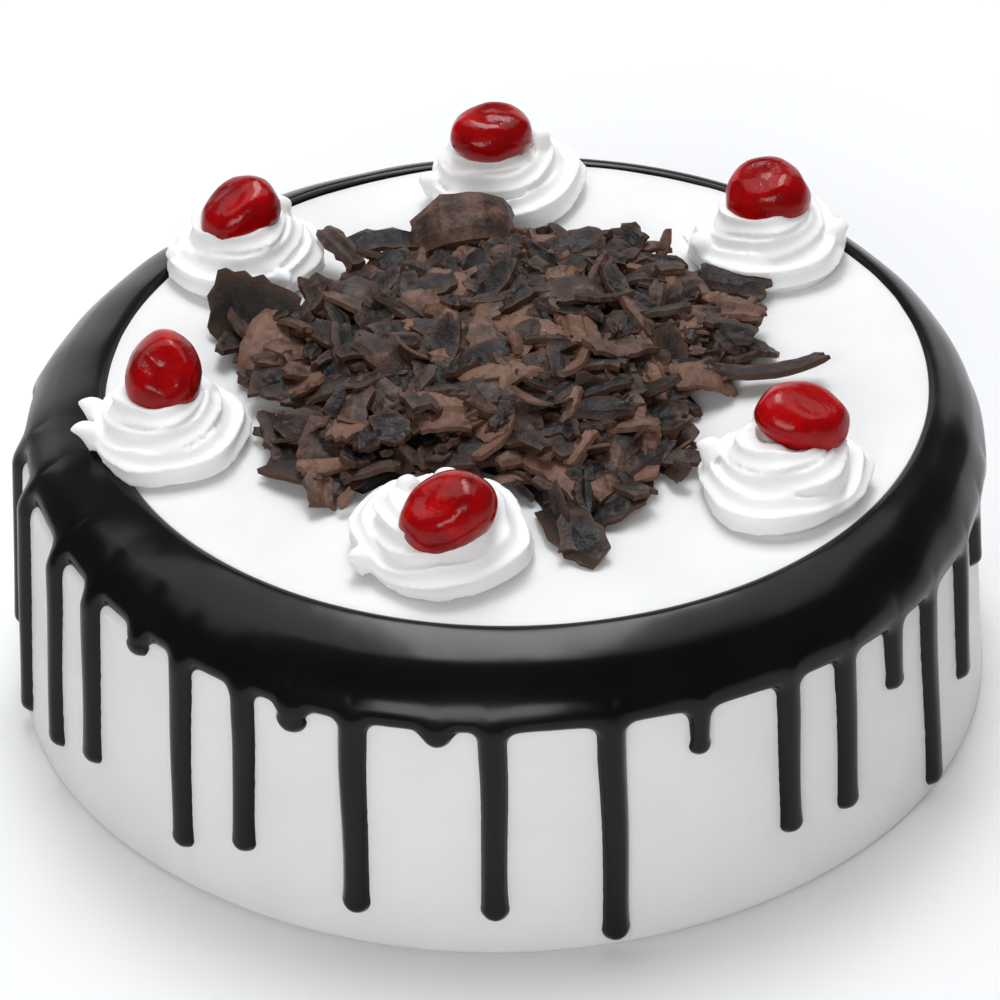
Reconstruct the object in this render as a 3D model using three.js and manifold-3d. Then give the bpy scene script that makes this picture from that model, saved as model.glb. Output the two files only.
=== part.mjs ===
// Black forest cake: a round cream cake under a ring of dark glaze that runs down its side in drips,
// with six piped swirls, a glace cherry on each, and a heap of chocolate shavings in the middle.
// Millimetres, +Z up. The cake rests on z = 0, its axis is x = y = 0 and its front faces -Y.
// Angles go round the axis in degrees, 0 at the front and 90 at the right.

import * as THREE from 'three';
import { mergeVertices } from 'three/addons/utils/BufferGeometryUtils.js';
import Module from 'manifold-3d';

const wasm = await Module();
wasm.setup();

// Cream body
const TOP_HEIGHT = 66;
const SIDE_RADIUS = 97.7;       // just under the glaze
const BASE_RADIUS = 100.2;      // the side leans out to its foot
const FOOT_ROUNDING = 1.6;
const SHOULDER_LOW = 53;        // the rounded shoulder meets the straight side here
const SHOULDER_POWER = 1.25;    // 1 for a quarter ellipse, more for a flatter one
const SHOULDER_TURNS = [90, 66, 44, 22, 0];
const BODY_COLUMNS = 52;
const DISC = { x: 3.8, y: 3.8, radius: 84.2 };    // bare cream inside the glaze, off centre

// Glaze
const GAP = 0.3;                // kept between neighbouring solids
const CHORD_BOW = 0.6;          // how far a coarse curve's chords stray from it
const GLAZE_RADIUS = 99.4;
const GLAZE_HEIGHT = 67.2;
const GLAZE_LOW = 55.5;         // its own shoulder begins higher than the cream's
const GLAZE_INSIDE = [24, 48, 72];               // turns of the shoulder, from the rim down
const GLAZE_OUTSIDE = [0.84, 0.6, 0.36, 0.14];   // shares of the turn at the lower edge, going up
const GLAZE_COLUMNS = 70;
const GLAZE_TOLERANCE = 0.2;
const EDGE_HEIGHT = 53;         // mean height of the arches between drips
const EDGE_SLOPE = 3.2;         // the arches are this much higher on the left, lower on the right
const ARCH_RISE = 2.2;
const LIP = 0.4;                // height of the glaze's blunt edges

// Each drip: angle, height of its end, width
const FRONT_DRIPS = [
  [-79, 3, 5.2], [-66.2, 9.5, 5.2], [-57.2, 15, 5.4], [-48, 50, 5.5], [-41, 9.5, 5.3], [-32, 15, 5.2],
  [-25.4, 47.5, 6.5], [-17.9, 7.5, 5.6], [-8, 49.5, 6], [-1.7, 8.5, 5.4], [12, 1.6, 5.4], [22.6, 41.5, 4.6],
  [34.4, 15, 5.2], [43, 13.5, 5.3], [51.8, 34, 5], [59.6, 2, 5.2], [69.5, 17, 5.2], [77, 36, 5],
];
const BACK_DRIPS = { count: 16, from: 87, to: 270, seed: 7, shortShare: 0.25 };
const DRIP_DEPTH = 2;
const DRIP_SIDES = 6;
const DRIP_BACK = -0.3;         // the section is cut off flat here, of half its depth
const BULB = 3;                 // height of the swelling at a drip's end

// Piped swirls: centre, radius, the angles at which the piping starts and ends,
// and the cherry's centre, half sizes and tilt about x and then y
const SWIRL_HEIGHT = 16.5;
const SWIRLS = [
  {
    x: -12.8, y: -54.4, radius: 19.8, start: 200, finish: 100,
    cherry: { centre: [-10.7, -62, 80], half: [10.2, 8.5, 7.6], tilt: [24, -22] },
  },
  {
    x: 56.5, y: -38, radius: 18.4, start: 300, finish: 30,
    cherry: { centre: [60, -34.5, 82], half: [9.8, 7.6, 5.9], tilt: [8, 24] },
  },
  {
    x: 57.6, y: 50, radius: 17.6, start: 110, finish: 60,
    cherry: { centre: [57.3, 50, 81.2], half: [9, 8.2, 7], tilt: [10, -12] },
  },
  {
    x: 2, y: 76.5, radius: 18.6, start: 160, finish: 20,
    cherry: { centre: [-0.3, 73.5, 83.2], half: [9.2, 7.4, 6], tilt: [5, 4] },
  },
  {
    x: -52.2, y: 50, radius: 17.8, start: 60, finish: 80,
    cherry: { centre: [-53, 48.5, 80.2], half: [9, 8, 6.8], tilt: [12, -26] },
  },
  {
    x: -67.5, y: -15, radius: 17.8, start: 175, finish: 60,
    cherry: { centre: [-67.3, -13.5, 81.6], half: [7.9, 9.2, 8], tilt: [38, 0] },
  },
];
const LOWER_ROPE = { turns: 1.12, thickness: 0.27, twist: 1.5, phase: 0 };    // the wide ring below
const UPPER_ROPE = { turns: 1.9, thickness: 0.24, twist: 2, phase: 0.5 };     // winds inwards and up
const LEAN = 0.4;               // of the cherry's offset from the swirl's centre, at the swirl's top
const LONGEST_STRETCH = 0.65;   // of a turn
const OVERLAP = 0.06;           // turns that two stretches of a rope share
const STAR_POINTS = 4;
const STAR_DEPTH = 0.26;        // how far the grooves of the piped rope go in, of its radius
const STEPS_PER_TURN = 10;
const RUFFLES_PER_TURN = 5;     // half the steps, so that every other step is a point
const RUFFLE_DEPTH = 0.2;
const SWIRL_TOLERANCE = 0.5;
const CUT_TOLERANCE = 0.12;     // less than the gap, for what is left once the hollow is cut
const DIMPLE = { depth: 0.16, spread: 0.02 };     // in the cherry, where its stalk was

// Heap of shavings
const HEAP = { x: 1, y: 2, radius: 54, height: 9, columns: 30, coreShare: 0.84 };
const HEAP_LOBES = [            // angle, how much further the shavings reach there, half width in degrees
  [12, 9, 8], [33, -5, 8], [72, -16, 18], [126, 12, 14], [150, 3, 16], [175, 4, 12], [-155, -3, 8],
  [-142, 9, 8], [-121, 15, 12], [-60, 3, 20],
];
// Shavings that stand out: both ends' x and y, middle height, width, how sharply it arches and its roll
const PLACED_SHAVINGS = [
  [-32, 46, -16, 46, 74.8, 8, 0.04, 0], [-60, 27, -42, 19, 72.5, 15, 0.03, 0.85],
  [-20, 46, 7, 48, 79.6, 12, 0.085, 0.5], [1, 45, 19, 45, 73.6, 8, 0.03, -0.1],
  [42, 39, 56, 31, 70, 8, 0.03, 0.3], [43, -2, 67, 3, 69.6, 5.5, -0.03, -0.2],
  [8, -24, 18, -44, 72, 13, 0.02, -0.2], [8.5, -43, 18.5, -61, 68.9, 10, 0.04, 0.3],
  [-46, -25, -29, -36, 70, 10, 0.03, -0.1], [-32, -34, -20, -29, 71, 8, 0.04, -0.3],
  [23, -36, 33, -26, 71, 8, 0.04, 0.3], [-47, -6, -44, 9, 72, 10, 0.03, 0],
  [-46, -9, -42, -27, 70, 8, 0.03, -0.3], [-36, 52, -29, 38, 74.5, 5, 0.03, 0.3],
  [32, -29, 41, -29, 69.5, 5, 0.03, 0.1], [-16, -27, 6, -28.5, 72.3, 10, 0.03, 0.1],
];
const SPREAD = { count: 330, shown: 36, seed: 20, stride: 89 };    // the rest, the largest ones first
const LENGTHS = [18, 8];        // the first of these and the last one
const SHAVING_THICKNESS = 1.4;
const SHAVING_PARTS = 3;        // straight stretches along a shaving
const SWIRL_CLEARANCE = 1.4;
const HEAP_TOLERANCE = 0.6;

const COLOURS = { cream: 0xf2f0ec, glaze: 0x14110f, cherry: 0xb00010, chocolate: 0x3a2620 };
const GOLDEN_ANGLE = 137.508;
const ROUNDING = 1e-4;          // corners closer than this are one

const rad = THREE.MathUtils.degToRad;
const deg = THREE.MathUtils.radToDeg;
const lerp = THREE.MathUtils.lerp;

// Seeded random numbers from 0 to 1
function randomFrom(seed) {
  let state = seed;
  return () => {
    state = (state + 0x6d2b79f5) | 0;
    let t = Math.imul(state ^ (state >>> 15), 1 | state);
    t = (t + Math.imul(t ^ (t >>> 7), 61 | t)) ^ t;
    return ((t ^ (t >>> 14)) >>> 0) / 4294967296;
  };
}

// Positions alone, with shared corners merged and triangles without area left out
function closedMesh(geometry) {
  geometry.deleteAttribute('normal');
  geometry.deleteAttribute('uv');
  const merged = mergeVertices(geometry, ROUNDING);
  const corners = [];
  for (let i = 0; i < merged.index.count; i += 3) {
    const [a, b, c] = [0, 1, 2].map((k) => merged.index.getX(i + k));
    if (a !== b && b !== c && c !== a) corners.push(a, b, c);
  }
  merged.setIndex(corners);
  return merged;
}

function toSolid(geometry) {
  const mesh = closedMesh(geometry);
  const vertProperties = new Float32Array(mesh.attributes.position.array);
  const triVerts = new Uint32Array(mesh.index.array);
  return new wasm.Manifold(new wasm.Mesh({ numProp: 3, vertProperties, triVerts }));
}

function toGeometry(solid) {
  const { vertProperties, triVerts } = solid.getMesh();
  const geometry = new THREE.BufferGeometry();
  geometry.setAttribute('position', new THREE.BufferAttribute(vertProperties, 3));
  geometry.setIndex(new THREE.BufferAttribute(triVerts, 1));
  return geometry;
}

// One body: scraps go, and so do the walls of sealed hollows
function oneBody(solid) {
  return solid.decompose().reduce((best, piece) => (piece.volume() > best.volume() ? piece : best));
}

// Joins pieces into one body with fewer triangles, each corner moved by the tolerance at most
function fuse(geometries, tolerance) {
  const joined = oneBody(wasm.Manifold.union(geometries.map(toSolid)));
  return oneBody(joined.simplify(tolerance));
}

// Moves every corner of a geometry by a rule that takes and gives x, y, z
function reshape(geometry, rule) {
  const place = geometry.attributes.position;
  for (let i = 0; i < place.count; i += 1) {
    place.setXYZ(i, ...rule(place.getX(i), place.getY(i), place.getZ(i)));
  }
  return geometry;
}

// Point at an angle round the axis
function around(angle, radius, height) {
  return [radius * Math.sin(rad(angle)), -radius * Math.cos(rad(angle)), height];
}

// A turned solid whose profile of [radius, height] pairs changes with the angle
function revolve(columns, profileAt) {
  const first = profileAt(0).map(([radius, height]) => new THREE.Vector2(radius, height));
  const geometry = new THREE.LatheGeometry(first, columns);
  for (let column = 0; column <= columns; column += 1) {
    const angle = (360 * (column % columns)) / columns;
    profileAt(angle).forEach(([radius, height], row) => {
      const corner = column * first.length + row;
      geometry.attributes.position.setXYZ(corner, ...around(angle, radius, height));
    });
  }
  return geometry;
}

// How far a point lies along a line from the axis at an angle, and how far to its side
function alongAndAcross(x, y, angle) {
  const [sine, cosine] = [Math.sin(rad(angle)), Math.cos(rad(angle))];
  return [x * sine - y * cosine, x * cosine + y * sine];
}

// Distance from the cake's axis to the inner edge of the glaze
function discEdge(angle) {
  const [along, across] = alongAndAcross(DISC.x, DISC.y, angle);
  return along + Math.sqrt(DISC.radius ** 2 - across ** 2);
}

// The side isn't quite round
function unevenness(angle) {
  return 0.3 * Math.sin(rad(3 * angle + 40)) + 0.2 * Math.sin(rad(5 * angle + 110));
}

// Point of the rounded shoulder: turn is 0 at the flat top and 90 at the side
function shoulder(angle, turn, radius, height, low) {
  const edge = discEdge(angle);
  const side = radius + unevenness(angle);
  return [
    edge + (side - edge) * Math.sin(rad(turn)) ** SHOULDER_POWER,
    low + (height - low) * Math.cos(rad(turn)) ** SHOULDER_POWER,
  ];
}

// The turn at which a shoulder from low to high is at the given height, 90 below it
function turnAt(height, low, high) {
  const part = Math.max(0, height - low) / (high - low);
  return deg(Math.acos(part ** (1 / SHOULDER_POWER)));
}

// Radius of the cream at a height, on the straight side or on the shoulder above it
function creamRadius(angle, height) {
  if (height <= SHOULDER_LOW) {
    return lerp(BASE_RADIUS, SIDE_RADIUS, height / SHOULDER_LOW) + unevenness(angle);
  }
  return shoulder(angle, turnAt(height, SHOULDER_LOW, TOP_HEIGHT), SIDE_RADIUS, TOP_HEIGHT, SHOULDER_LOW)[0];
}

function creamBody() {
  return revolve(BODY_COLUMNS, (angle) => {
    const foot = creamRadius(angle, 0);
    return [
      [0, 0],
      [foot - FOOT_ROUNDING, 0],
      [foot, FOOT_ROUNDING],
      ...SHOULDER_TURNS.map((turn) => shoulder(angle, turn, SIDE_RADIUS, TOP_HEIGHT, SHOULDER_LOW)),
      [0, TOP_HEIGHT],
    ];
  });
}

// All the way round: the drips at the front as they hang, and a like number at the back
function allDrips() {
  const random = randomFrom(BACK_DRIPS.seed);
  const spacing = (BACK_DRIPS.to - BACK_DRIPS.from) / (BACK_DRIPS.count - 1);
  const back = Array.from({ length: BACK_DRIPS.count }, (_, i) => {
    const angle = BACK_DRIPS.from + spacing * (i + 0.5 * (random() - 0.5));
    const isShort = random() < BACK_DRIPS.shortShare;
    const end = isShort ? 38 + 11 * random() : 4 + 16 * random();
    return [angle, end, 4.4 + 1.2 * random()];
  });
  return [...FRONT_DRIPS, ...back].sort((a, b) => a[0] - b[0]);
}

// Lower edge of the glaze: an arch between each drip and the next
function glazeEdge(angle, drips) {
  const first = drips[0][0];
  const turned = ((angle - first + 360) % 360) + first;
  const index = drips.findLastIndex((one) => one[0] <= turned);
  const left = drips[index][0];
  const right = index + 1 < drips.length ? drips[index + 1][0] : first + 360;
  const fromMiddle = (2 * (turned - left)) / (right - left) - 1;
  const sag = 0.9 * Math.sin(rad(4 * angle + 25));
  return EDGE_HEIGHT - EDGE_SLOPE * Math.sin(rad(angle)) + sag - ARCH_RISE * fromMiddle ** 4;
}

// The ring of glaze over the shoulder. Its inside has few points and stands off by their chords' bow.
function glazeRing(drips) {
  const standOff = GAP + CHORD_BOW;
  return revolve(GLAZE_COLUMNS, (angle) => {
    const low = glazeEdge(angle, drips);
    const lastTurn = turnAt(low, GLAZE_LOW, GLAZE_HEIGHT);
    const inner = (turn) => (
      shoulder(angle, turn, SIDE_RADIUS + standOff, TOP_HEIGHT + standOff, SHOULDER_LOW + standOff)
    );
    const outer = (part) => shoulder(angle, lastTurn * part, GLAZE_RADIUS, GLAZE_HEIGHT, GLAZE_LOW);
    const edge = discEdge(angle);
    const rim = [edge, TOP_HEIGHT + GAP];
    const lowerEdge = [[creamRadius(angle, low) + standOff, low - LIP], [outer(1)[0], low]];
    const upperEdge = [edge + 0.2, GLAZE_HEIGHT - LIP];
    return [rim, ...GLAZE_INSIDE.map(inner), ...lowerEdge, ...GLAZE_OUTSIDE.map(outer), upperEdge, rim];
  });
}

// A drip is half an ellipse in section, flat against the side. It flares where it leaves the glaze
// and swells at its end. Each row has a height, and the width and depth as shares of the drip's own.
function drip([angle, end, width], drips) {
  const top = Math.max(glazeEdge(angle, drips) + 2.5, end + 5);
  const drop = top - end;
  const bulb = Math.min(BULB, drop * 0.3);
  const rows = [
    [top, 1.9, 0.15],
    [top - Math.min(6, drop * 0.4), 1.05, 0.85],
    [end + 2.2 * bulb, 0.88, 0.9],
    [end + bulb, 1.06, 1.05],
    [end + 0.25 * bulb, 0.75, 0.75],
  ];
  const tube = new THREE.CylinderGeometry(1, 1, 1, DRIP_SIDES, rows.length - 1);
  return reshape(tube, (x, y, z) => {
    const row = Math.round((0.5 - y) * (rows.length - 1));
    const isCentre = Math.abs(x) + Math.abs(z) < ROUNDING;
    const [rowHeight, widthShare, depthShare] = rows[row];
    const height = isCentre && y < 0 ? end : rowHeight;
    const out = isCentre ? 0.35 : Math.max(0, z - DRIP_BACK) / (1 - DRIP_BACK);
    const standOff = row < 2 ? GAP + CHORD_BOW : GAP;
    const radius = creamRadius(angle, height) + standOff + DRIP_DEPTH * depthShare * out;
    return around(angle + deg((x * width * widthShare) / 2 / SIDE_RADIUS), radius, height);
  });
}

function ganache() {
  const drips = allDrips();
  return toGeometry(fuse([glazeRing(drips), ...drips.map((one) => drip(one, drips))], GLAZE_TOLERANCE));
}

// Keeps the swirls clear of the glaze that some of them lean over
function glazeClearance() {
  return revolve(BODY_COLUMNS, (angle) => {
    const over = (turn) => shoulder(angle, turn, GLAZE_RADIUS + GAP, GLAZE_HEIGHT + GAP, GLAZE_LOW + GAP);
    const inside = discEdge(angle) - 2 * GAP;
    const under = [[inside, TOP_HEIGHT - 4], [GLAZE_RADIUS - 6, TOP_HEIGHT - 6]];
    return [...under, over(40), over(20), over(0), [inside, GLAZE_HEIGHT], under[0]];
  });
}

// A rope with a star section, pointed at both ends, along the stretch from one turn to another.
// The path gives its radius and height at each turn.
function pipedRope(rope, from, to, path) {
  const steps = Math.ceil(STEPS_PER_TURN * (to - from));
  const geometry = new THREE.CylinderGeometry(1, 1, 1, 2 * STAR_POINTS, steps);
  return reshape(geometry, (x, y, z) => {
    const part = 0.5 - y;
    const turn = lerp(from, to, part);
    const isCentre = Math.abs(x) + Math.abs(z) < ROUNDING;
    const side = Math.atan2(x, z);
    const isGroove = Math.round((side * STAR_POINTS) / Math.PI) % 2 !== 0;
    const star = isGroove ? 1 - STAR_DEPTH : 1;
    const ruffle = 1.08 - RUFFLE_DEPTH * Math.abs(Math.sin(Math.PI * (RUFFLES_PER_TURN * turn + rope.phase)));
    const taper = Math.min(1, 0.35 + 5 * part, 0.3 + 6 * (1 - part));
    const thick = isCentre ? 0 : rope.thickness * ruffle * taper * star;
    const twisted = side + rope.twist * turn;
    const middle = path(turn);
    const reach = middle.radius + thick * Math.cos(twisted);
    const height = Math.max(middle.height + thick * Math.sin(twisted), 0);
    const angle = rope.start + 2 * Math.PI * turn;
    return [reach * Math.cos(angle), reach * Math.sin(angle), height];
  });
}

// Two ropes on a core, leaning towards the cherry. A rope is made in stretches, because it would run
// into itself.
function swirlShape({ x, y, radius, start, finish, cherry }) {
  const lower = { ...LOWER_ROPE, thickness: radius * LOWER_ROPE.thickness, start: rad(start) };
  const upper = { ...UPPER_ROPE, thickness: radius * UPPER_ROPE.thickness };
  upper.start = rad(finish) - 2 * Math.PI * upper.turns;
  const lowerPath = (turn) => ({
    radius: radius - lower.thickness * (1 + 0.12 * turn),
    height: lower.thickness * (0.62 + 0.2 * turn),
  });
  const upperPath = (turn) => ({
    radius: radius * lerp(0.57, 0.34, turn / upper.turns),
    height: lerp(lower.thickness * 1.2, SWIRL_HEIGHT - upper.thickness, turn / upper.turns),
  });
  const core = new THREE.SphereGeometry(1, 6, 4);
  core.rotateX(Math.PI / 2);
  core.scale(radius * 0.72, radius * 0.72, SWIRL_HEIGHT * 0.8);
  reshape(core, (cx, cy, cz) => [cx, cy, Math.max(cz, 0)]);
  const ropes = [[lower, lowerPath], [upper, upperPath]].flatMap(([rope, path]) => {
    const stretches = Math.ceil(rope.turns / LONGEST_STRETCH);
    return Array.from({ length: stretches }, (_, i) => {
      const from = (rope.turns * i) / stretches;
      return pipedRope(rope, Math.max(from - OVERLAP, 0), from + rope.turns / stretches, path);
    });
  });
  const lean = [cherry.centre[0] - x, cherry.centre[1] - y].map((offset) => (LEAN * offset) / SWIRL_HEIGHT);
  const leaning = [core, ...ropes].map((shape) => (
    reshape(shape, (px, py, pz) => [px + lean[0] * pz, py + lean[1] * pz, pz])
  ));
  return fuse(leaning, SWIRL_TOLERANCE).translate([x, y, TOP_HEIGHT + GAP]);
}

// An egg shape with a dimple and uneven cheeks. extra makes it larger all over.
function cherryShape({ centre, half, tilt }, extra) {
  const geometry = new THREE.SphereGeometry(1, 10, 6);
  reshape(geometry, (x, y, z) => {
    const dimple = DIMPLE.depth * Math.exp(-((1 - y) ** 2) / DIMPLE.spread);
    const size = 1 - dimple + 0.05 * Math.sin(2.5 * x + 1) * z;
    return [x * size * (half[0] + extra), z * size * (half[1] + extra), y * size * (half[2] + extra)];
  });
  geometry.index.array.reverse();    // two axes changed places, so the faces are turned round again
  geometry.rotateX(rad(tilt[0]));
  geometry.rotateY(rad(tilt[1]));
  geometry.translate(...centre);
  return geometry;
}

// The cherry sits in a hollow of the swirl
function swirlGeometry(swirl, clearance) {
  const hollow = toSolid(cherryShape(swirl.cherry, GAP + 0.05));
  const cut = oneBody(swirlShape(swirl).subtract(hollow).subtract(clearance));
  return toGeometry(oneBody(cut.simplify(CUT_TOLERANCE)));
}

// How far a line from the middle of the heap runs before it comes too near a swirl
function roomBefore(swirl, angle) {
  const [along, across] = alongAndAcross(swirl.x - HEAP.x, swirl.y - HEAP.y, angle);
  const keepOff = swirl.radius * 1.08 + SWIRL_CLEARANCE;
  const meets = along > 0 && Math.abs(across) < keepOff;
  return meets ? along - Math.sqrt(keepOff ** 2 - across ** 2) : Infinity;
}

// How far the shavings reach from the middle of the heap
function heapReach(angle) {
  const free = HEAP_LOBES.reduce((reach, [lobe, extra, width]) => {
    const off = ((angle - lobe + 540) % 360) - 180;
    return reach + extra * Math.exp(-((off / width) ** 2));
  }, HEAP.radius);
  return Math.min(free, ...SWIRLS.map((swirl) => roomBefore(swirl, angle)));
}

// The core's surface is nearly level in the middle and falls steeply at its edge
function heapHeight(part) {
  return HEAP.height * (1 - part ** 3);
}

// The core is lower than the heap, so that the shavings lie in it by their thickness
function heapCore() {
  const sunk = 0.6;
  const core = revolve(HEAP.columns, (angle) => {
    const reach = heapReach(angle) * HEAP.coreShare;
    const ring = (part) => {
      const bump = 0.8 * Math.sin(rad(5 * angle) + 2 * part) * Math.sin(3 * part);
      return [reach * part, heapHeight(part * 0.97) - sunk + bump];
    };
    return [[0, 0], [reach, 0], ring(1), ring(0.82), ring(0.55), ring(0.28), [0, HEAP.height - sunk]];
  });
  return core.translate(HEAP.x, HEAP.y, TOP_HEIGHT + GAP);
}

// One curled splinter: a bent plate with uneven width, tapering to its ends
function shavingPlate(one) {
  const plate = new THREE.BoxGeometry(one.length, one.width, SHAVING_THICKNESS, SHAVING_PARTS, 1, 1);
  reshape(plate, (x, y, z) => {
    const station = Math.round((x / one.length + 0.5) * SHAVING_PARTS);
    const bend = x * one.curl;
    const away = 1 / one.curl + z;
    const across = y * one.widths[station] + one.skew * x;
    return [away * Math.sin(bend), across, away * Math.cos(bend) - 1 / one.curl];
  });
  plate.rotateX(one.roll);
  plate.rotateY(one.pitch);
  plate.rotateZ(one.yaw);
  plate.translate(one.x, one.y, one.z);
  plate.computeBoundingBox();
  const sunk = TOP_HEIGHT + GAP - plate.boundingBox.min.z;
  return sunk > 0 ? plate.translate(0, 0, sunk) : plate;
}

function placedShaving([x1, y1, x2, y2, z, width, curl, roll], index) {
  return {
    x: (x1 + x2) / 2,
    y: (y1 + y2) / 2,
    z,
    length: Math.hypot(x2 - x1, y2 - y1),
    width,
    yaw: Math.atan2(y2 - y1, x2 - x1),
    pitch: 0,
    roll,
    curl,
    skew: 0.1 * Math.cos(3 * index),
    widths: [0.75, 1, 0.95, 0.75],
  };
}

// Places are spread over the heap by the golden angle. A shaving that would touch a swirl is left out.
function spreadShavings() {
  const random = randomFrom(SPREAD.seed);
  const list = [];
  for (let i = 0; i < SPREAD.count; i += 1) {
    const place = (i * SPREAD.stride) % SPREAD.count;
    const angle = GOLDEN_ANGLE * place;
    const part = Math.sqrt((place + 0.5) / SPREAD.count);
    const distance = heapReach(angle % 360) * part;
    const size = lerp(LENGTHS[0], LENGTHS[1], (i / SPREAD.count) ** 0.7);
    list.push({
      x: HEAP.x + distance * Math.sin(rad(angle)) + 3 * (random() - 0.5),
      y: HEAP.y - distance * Math.cos(rad(angle)) + 3 * (random() - 0.5),
      z: TOP_HEIGHT + 0.8 + heapHeight(part) + 4.5 * random() * (1 - 0.6 * part),
      length: size * (0.75 + 0.5 * random()),
      width: size * (0.42 + 0.26 * random()),
      yaw: 2 * Math.PI * random(),
      pitch: 0.9 * (random() - 0.5),
      roll: 1.1 * (random() - 0.5),
      curl: (random() < 0.75 ? 1 : -1) * (0.02 + 0.05 * random()),
      skew: 0.3 * (random() - 0.5),
      widths: [0.35 + 0.5 * random(), 1, 0.75 + 0.25 * random(), 0.3 + 0.5 * random()],
    });
  }
  return list.filter((one) => SWIRLS.every((swirl) => {
    const reach = swirl.radius * 1.1 + SWIRL_CLEARANCE + one.length * 0.5;
    return Math.hypot(one.x - swirl.x, one.y - swirl.y) > reach;
  }));
}

function shavings() {
  const list = [...PLACED_SHAVINGS.map(placedShaving), ...spreadShavings().slice(0, SPREAD.shown)];
  return toGeometry(fuse([heapCore(), ...list.map(shavingPlate)], HEAP_TOLERANCE));
}

function finish(colour, roughness) {
  return new THREE.MeshStandardMaterial({ color: colour, roughness, metalness: 0, flatShading: true });
}

const cake = new THREE.Group();

function add(name, geometry, material) {
  const mesh = new THREE.Mesh(geometry, material);
  mesh.name = name;
  cake.add(mesh);
}

add('cream_body', closedMesh(creamBody()), finish(COLOURS.cream, 0.6));
add('ganache', ganache(), finish(COLOURS.glaze, 0.2));
const clearance = toSolid(glazeClearance());
SWIRLS.forEach((swirl, index) => {
  add(`swirl_${index + 1}`, swirlGeometry(swirl, clearance), finish(COLOURS.cream, 0.6));
  add(`cherry_${index + 1}`, closedMesh(cherryShape(swirl.cherry, 0)), finish(COLOURS.cherry, 0.15));
});
add('shavings', shavings(), finish(COLOURS.chocolate, 0.6));

export default cake;
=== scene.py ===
# Looks of a black forest cake: spread cream under a ring of dark glaze that drips down the side,
# six piped swirls with glace cherries, and a heap of chocolate shavings.
# Shapes are worked out in millimetres and turned into metres where a mesh is made.
# Angles go round the cake's axis in degrees, 0 at the front and 90 at the right.

import math

import bpy
import numpy as np
from mathutils import Euler, Matrix, Vector


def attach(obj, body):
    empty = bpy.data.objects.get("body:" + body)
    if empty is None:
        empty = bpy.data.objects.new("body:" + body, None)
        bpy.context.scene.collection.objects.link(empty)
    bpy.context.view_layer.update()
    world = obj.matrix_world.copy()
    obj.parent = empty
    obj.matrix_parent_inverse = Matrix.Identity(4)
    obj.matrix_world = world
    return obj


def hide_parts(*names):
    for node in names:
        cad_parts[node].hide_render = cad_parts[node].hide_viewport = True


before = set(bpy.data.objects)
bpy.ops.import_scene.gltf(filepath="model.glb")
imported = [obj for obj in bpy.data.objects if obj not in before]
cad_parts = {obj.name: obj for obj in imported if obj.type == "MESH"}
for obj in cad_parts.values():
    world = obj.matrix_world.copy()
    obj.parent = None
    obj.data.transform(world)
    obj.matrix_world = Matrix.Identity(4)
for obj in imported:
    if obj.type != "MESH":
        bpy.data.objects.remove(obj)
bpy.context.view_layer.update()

MM = 0.001
scene = bpy.context.scene

# Cream body, as in the frame
TOP_HEIGHT = 66.0
SIDE_RADIUS = 97.7
BASE_RADIUS = 100.2
FOOT_ROUNDING = 1.6
SHOULDER_LOW = 53.0
SHOULDER_POWER = 1.25           # 1 for a quarter ellipse, more for a flatter one
DISC_X, DISC_Y, DISC_RADIUS = 3.8, 3.8, 84.2
BODY_COLUMNS = 360
BASE_ROWS, SIDE_ROWS, SHOULDER_ROWS, TOP_ROWS = 6, 46, 22, 56

# Glaze
GLAZE_COLUMNS, GLAZE_SHOULDER_ROWS, GLAZE_SIDE_ROWS = 1120, 44, 74
GLAZE_THICKNESS = (1.2, 2.0, 1.8)       # at the inner edge, half way down the shoulder and at the side
GLAZE_REACHES = (0, 10, 24)             # how far out from the inner edge those three are
INWARD_STEP = 0.7                       # how far past its inner edge the glaze's grid starts
GLAZE_ROOT = 1.6                        # how deep its hidden skin lies in the cream
KEPT_HIDDEN_FACES = 0.56                # share of all its faces that stay when the hidden skin is thinned
DRIP_THICKNESS = 2.0
EDGE_HEIGHT = 53.0
EDGE_SLOPE = 3.2
ARCH_RISE = 2.2
ROUNDED = 2.2                   # the glaze's edges are rounded over this width
EDGE_POWER = 2.6                # how full their rounding is
FILLET = 2.4                    # where a drip leaves the ring
FAR_OUTSIDE = -9.0              # stands for a place that is nowhere near a drip

# Each drip: angle, height of its end, width
FRONT_DRIPS = [
    (-79, 3, 5.2), (-66.2, 9.5, 5.2), (-57.2, 15, 5.4), (-48, 50, 5.5), (-41, 9.5, 5.3), (-32, 15, 5.2),
    (-25.4, 47.5, 6.5), (-17.9, 7.5, 5.6), (-8, 49.5, 6), (-1.7, 8.5, 5.4), (12, 1.6, 5.4),
    (22.6, 41.5, 4.6), (34.4, 15, 5.2), (43, 13.5, 5.3), (51.8, 34, 5), (59.6, 2, 5.2), (69.5, 17, 5.2),
    (77, 36, 5),
]
BACK_COUNT, BACK_FROM, BACK_TO, BACK_SEED, SHORT_SHARE = 16, 87, 270, 7, 0.25
SHORT_ENDS, LONG_ENDS = (38, 11), (4, 16)       # lowest end and how much higher it can be

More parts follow.
